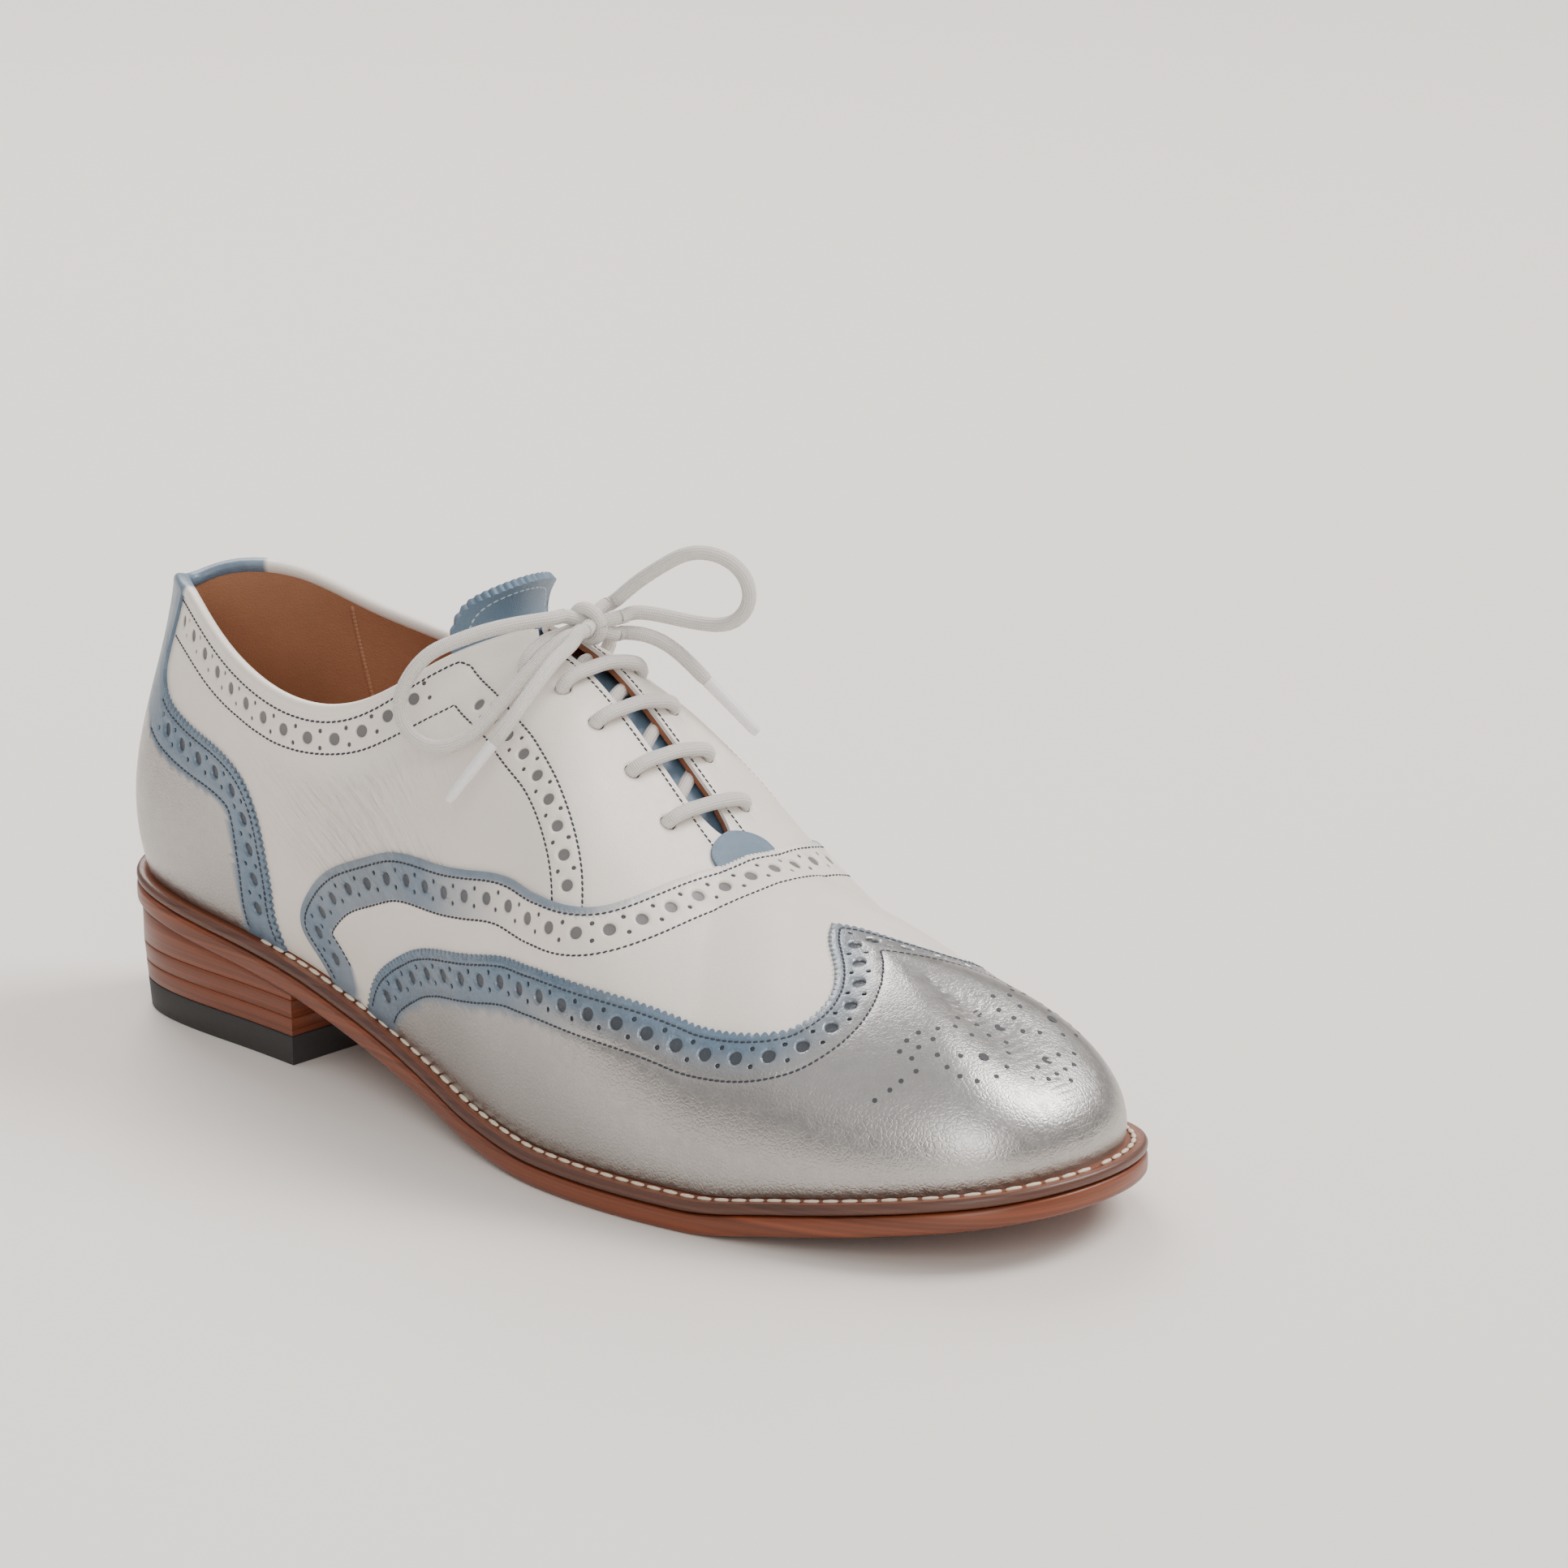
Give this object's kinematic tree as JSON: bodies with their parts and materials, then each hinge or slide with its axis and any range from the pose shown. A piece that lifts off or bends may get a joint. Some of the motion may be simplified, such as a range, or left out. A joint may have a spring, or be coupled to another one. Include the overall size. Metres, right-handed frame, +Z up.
{
  "type": "oxford shoe",
  "caption": "Right-foot laced wingtip oxford shoe with a tied lace bow, stitched welt, leather sole and stacked heel, standing empty.",
  "frame": {"origin": "on the floor under the centre of the shoe's box, free lace left out", "axes": "+X towards the toe, +Y towards the inner side of the foot, +Z up"},
  "size_m": [0.3, 0.103, 0.1342],
  "materials": {
    "sole_leather": "burnished reddish brown",
    "welt_leather": "waxed dark brown",
    "heel_rubber": "matt black",
    "lining_leather": "undyed tan",
    "white_leather": "polished warm white",
    "silver_leather": "grained metallic silver",
    "blue_leather": "dusty steel blue",
    "lace_cotton": "waxed cotton cord",
    "lace_tip": "clear"
  },
  "bodies": {
    "root": {"outsole": "sole_leather", "welt": "welt_leather", "insole": "lining_leather", "heel_top_piece": "heel_rubber", "heel_lift_1": "sole_leather", "heel_lift_2": "sole_leather", "heel_wedge": "sole_leather", "upper": "white_leather", "vamp": "white_leather", "wing_cap": "silver_leather", "heel_counter": "silver_leather", "throat_tab": "blue_leather", "collar_binding": "white_leather", "tongue": "blue_leather", "lace_bar_1_outer": "lace_cotton", "lace_bar_1_inner": "lace_cotton", "lace_bar_2": "lace_cotton", "lace_bar_3": "lace_cotton", "lace_bar_4": "lace_cotton", "lace_bar_5": "lace_cotton", "lace_knot": "lace_cotton", "lace_loop_outer": "lace_cotton", "lace_loop_inner": "lace_cotton", "lace_end_outer": "lace_cotton", "lace_end_inner": "lace_cotton", "aglet_outer": "lace_tip", "aglet_inner": "lace_tip"}
  },
  "joints": []
}
